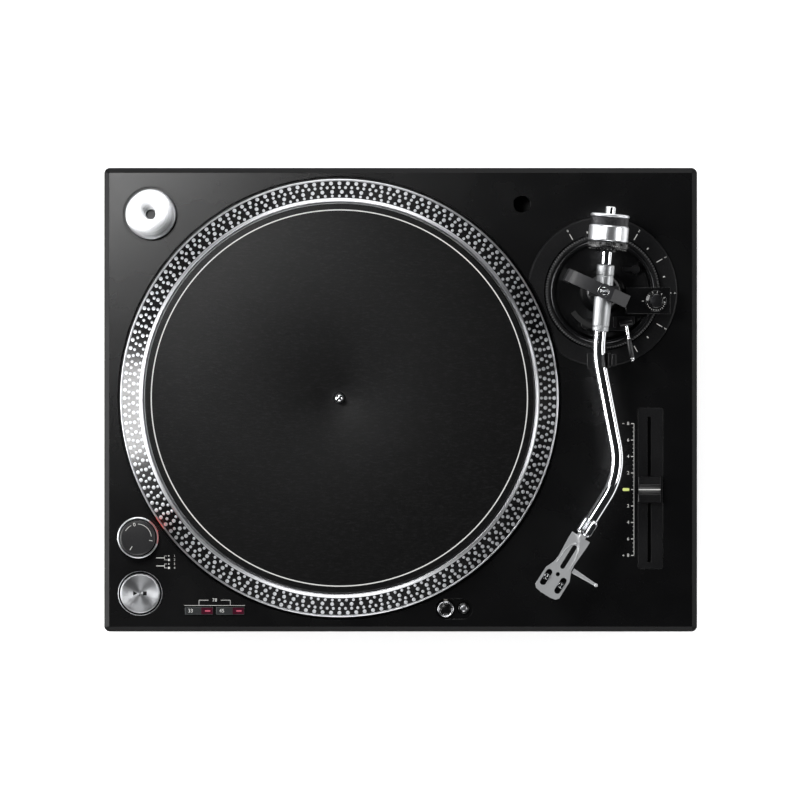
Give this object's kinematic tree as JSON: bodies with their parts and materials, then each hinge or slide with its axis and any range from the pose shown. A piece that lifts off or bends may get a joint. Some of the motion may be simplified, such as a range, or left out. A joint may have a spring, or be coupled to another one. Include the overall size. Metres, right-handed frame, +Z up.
{
  "type": "turntable record player",
  "caption": "Direct-drive turntable: black plinth on turning feet, dotted platter with felt mat, S-shaped arm with counterweight and headshell, speed buttons and tempo fader.",
  "frame": {"origin": "centre of the plinth in plan, at the undersides of the feet", "axes": "+X to the right, towards the pickup arm; +Y to the rear; +Z up"},
  "size_m": [0.45, 0.352, 0.15],
  "materials": {
    "plinth_black": "satin fine texture",
    "case_black": "matt",
    "foot_rubber": "matt",
    "board_green": "satin",
    "copper": "satin",
    "machined_aluminium": "turned",
    "felt": "felt",
    "chrome": "polished",
    "black_plastic": "satin",
    "gloss_black": "semi-gloss",
    "red_lens": "clear gloss",
    "satin_silver": "bead-blasted satin",
    "dark_metal": "satin",
    "ferrite": "matt"
  },
  "bodies": {
    "chassis": {"top_panel": "plinth_black", "bottom_case": "case_black", "main_board": "board_green", "power_supply": "copper", "bearing_housing": "machined_aluminium", "motor_stator": "copper", "jack_plate": "dark_metal", "ground_post": "chrome", "mains_inlet": "black_plastic", "strobe_tower": "chrome", "strobe_lens": "red_lens", "speed_switches": "board_green", "lamp_guide": "black_plastic", "headshell_holder": "black_plastic", "tempo_panel": "plinth_black", "tempo_body": "dark_metal", "height_dial_plate": "gloss_black"},
    "platter_unit": {"platter": "machined_aluminium", "slip_mat": "felt", "spindle": "chrome", "rotor_magnet": "ferrite"},
    "adapter": {"record_adapter": "machined_aluminium"},
    "power_knob": {"power_knob": "dark_metal"},
    "start_stop_button": {"start_stop_button": "machined_aluminium"},
    "speed_button_33": {"speed_button_33": "satin_silver"},
    "speed_button_45": {"speed_button_45": "satin_silver"},
    "lamp_button": {"lamp_button": "satin_silver"},
    "stylus_lamp": {"stylus_lamp": "satin_silver"},
    "tempo_slider": {"tempo_slider": "black_plastic"},
    "foot_front_left": {"foot_front_left": "foot_rubber"},
    "foot_front_right": {"foot_front_right": "foot_rubber"},
    "foot_rear_left": {"foot_rear_left": "foot_rubber"},
    "foot_rear_right": {"foot_rear_right": "foot_rubber"},
    "height_ring": {"height_ring": "black_plastic"},
    "arm_base": {"arm_base": "gloss_black", "arm_pillar": "gloss_black", "gimbal_bridge": "dark_metal", "pivot_screw": "chrome", "antiskate_block": "gloss_black", "cue_bracket": "black_plastic", "arm_rest": "black_plastic"},
    "antiskate_knob": {"antiskate_knob": "gloss_black"},
    "cue_lever": {"cue_lever": "satin_silver"},
    "lift_platform": {"lift_platform": "black_plastic"},
    "height_lock": {"height_lock": "black_plastic"},
    "rest_clip": {"rest_clip": "black_plastic"},
    "gimbal": {"gimbal_frame": "dark_metal"},
    "arm": {"arm_housing": "satin_silver", "arm_tube": "chrome", "rear_shaft": "chrome"},
    "weight_core": {"counterweight_core": "dark_metal"},
    "counterweight": {"counterweight": "chrome"},
    "force_dial": {"force_dial": "gloss_black"},
    "locking_collar": {"locking_collar": "chrome"},
    "headshell": {"headshell": "satin_silver", "finger_lift": "satin_silver", "cartridge": "black_plastic", "stylus": "dark_metal", "cartridge_screw_left": "chrome", "cartridge_screw_right": "chrome"}
  },
  "joints": [
    {"name": "platter_spin", "type": "hinge", "parent": "chassis", "child": "platter_unit", "pos_m": [-0.0464, 0.0013, 0.1], "axis": [0, 0, -1], "continuous": true},
    {"name": "adapter_lift", "type": "slide", "parent": "chassis", "child": "adapter", "axis": [0, 0, 1], "range_m": [0, 0.03]},
    {"name": "power_turn", "type": "hinge", "parent": "chassis", "child": "power_knob", "pos_m": [-0.1991, -0.1045, 0.1], "axis": [0, 0, -1], "range_deg": [0, 40]},
    {"name": "start_press", "type": "slide", "parent": "chassis", "child": "start_stop_button", "axis": [0, 0, -1], "range_m": [0, 0.0015], "stiffness_N_per_m": 500, "springref_m": -0.002},
    {"name": "speed_33_press", "type": "slide", "parent": "chassis", "child": "speed_button_33", "axis": [0, 0, -1], "range_m": [0, 0.0012], "stiffness_N_per_m": 300, "springref_m": -0.002},
    {"name": "speed_45_press", "type": "slide", "parent": "chassis", "child": "speed_button_45", "axis": [0, 0, -1], "range_m": [0, 0.0012], "stiffness_N_per_m": 300, "springref_m": -0.002},
    {"name": "lamp_button_press", "type": "slide", "parent": "chassis", "child": "lamp_button", "axis": [0, 0, -1], "range_m": [0, 0.0015], "stiffness_N_per_m": 300, "springref_m": -0.002},
    {"name": "lamp_rise", "type": "slide", "parent": "chassis", "child": "stylus_lamp", "axis": [0, 0, 1], "range_m": [0, 0.022]},
    {"name": "tempo_slide", "type": "slide", "parent": "chassis", "child": "tempo_slider", "axis": [0, -1, 0], "range_m": [-0.05, 0.05]},
    {"name": "foot_turn_front_left", "type": "hinge", "parent": "chassis", "child": "foot_front_left", "pos_m": [-0.185, -0.136, 0.02], "axis": [0, 0, 1], "continuous": true},
    {"name": "foot_turn_front_right", "type": "hinge", "parent": "chassis", "child": "foot_front_right", "pos_m": [0.185, -0.136, 0.02], "axis": [0, 0, 1], "continuous": true},
    {"name": "foot_turn_rear_left", "type": "hinge", "parent": "chassis", "child": "foot_rear_left", "pos_m": [-0.185, 0.136, 0.02], "axis": [0, 0, 1], "continuous": true},
    {"name": "foot_turn_rear_right", "type": "hinge", "parent": "chassis", "child": "foot_rear_right", "pos_m": [0.185, 0.136, 0.02], "axis": [0, 0, 1], "continuous": true},
    {"name": "height_turn", "type": "hinge", "parent": "chassis", "child": "height_ring", "pos_m": [0.153, 0.0818, 0.095], "axis": [0, 0, 1], "range_deg": [0, 180]},
    {"name": "arm_height", "type": "slide", "parent": "chassis", "child": "arm_base", "axis": [0, 0, 1], "range_m": [0, 0.006]},
    {"name": "antiskate_turn", "type": "hinge", "parent": "arm_base", "child": "antiskate_knob", "pos_m": [0.193, 0.0746, 0.114], "axis": [0, 0, -1], "range_deg": [0, 300]},
    {"name": "cue_lift", "type": "hinge", "parent": "arm_base", "child": "cue_lever", "pos_m": [0.1705, 0.0581, 0.108], "axis": [-0.9853, -0.1711, 0], "range_deg": [0, 40]},
    {"name": "platform_rise", "type": "slide", "parent": "arm_base", "child": "lift_platform", "axis": [0, 0, 1], "range_m": [0, 0.0036]},
    {"name": "height_lock_turn", "type": "hinge", "parent": "arm_base", "child": "height_lock", "pos_m": [0.178, 0.0988, 0.1], "axis": [0, 0, -1], "range_deg": [0, 50]},
    {"name": "rest_clip_close", "type": "hinge", "parent": "arm_base", "child": "rest_clip", "pos_m": [0.1596, 0.0298, 0.139], "axis": [0, -1, 0], "range_deg": [0, 86]},
    {"name": "arm_yaw", "type": "hinge", "parent": "arm_base", "child": "gimbal", "pos_m": [0.153, 0.0818, 0.132], "axis": [0, 0, -1], "range_deg": [0, 45]},
    {"name": "arm_pitch", "type": "hinge", "parent": "gimbal", "child": "arm", "pos_m": [0.153, 0.0818, 0.132], "axis": [-0.9963, 0.0854, 0], "range_deg": [0, 8]},
    {"name": "weight_slide", "type": "slide", "parent": "arm", "child": "weight_core", "axis": [0.0854, 0.9963, 0], "range_m": [-0.0051, 0.0051]},
    {"name": "weight_turn", "type": "hinge", "parent": "weight_core", "child": "counterweight", "pos_m": [0.1571, 0.12962, 0.132], "axis": [-0.0854, -0.9963, 0], "range_deg": [-720, 720]},
    {"name": "force_dial_turn", "type": "hinge", "parent": "weight_core", "child": "force_dial", "pos_m": [0.1559, 0.11568, 0.132], "axis": [-0.0854, -0.9963, 0], "range_deg": [-150, 150]},
    {"name": "collar_turn", "type": "hinge", "parent": "arm", "child": "locking_collar", "pos_m": [0.14066, -0.09581, 0.132], "axis": [-0.5299, -0.848, 0], "range_deg": [0, 60]},
    {"name": "headshell_pull", "type": "slide", "parent": "arm", "child": "headshell", "axis": [-0.5299, -0.848, 0], "range_m": [0, 0.012]}
  ],
  "couplings": [
    {"joint": "height_turn", "follows": "arm_height", "rad_per_m": 523.5},
    {"joint": "platform_rise", "follows": "cue_lift", "m_per_rad": 0.0050134},
    {"joint": "weight_slide", "follows": "weight_turn", "m_per_rad": 0.0004}
  ]
}
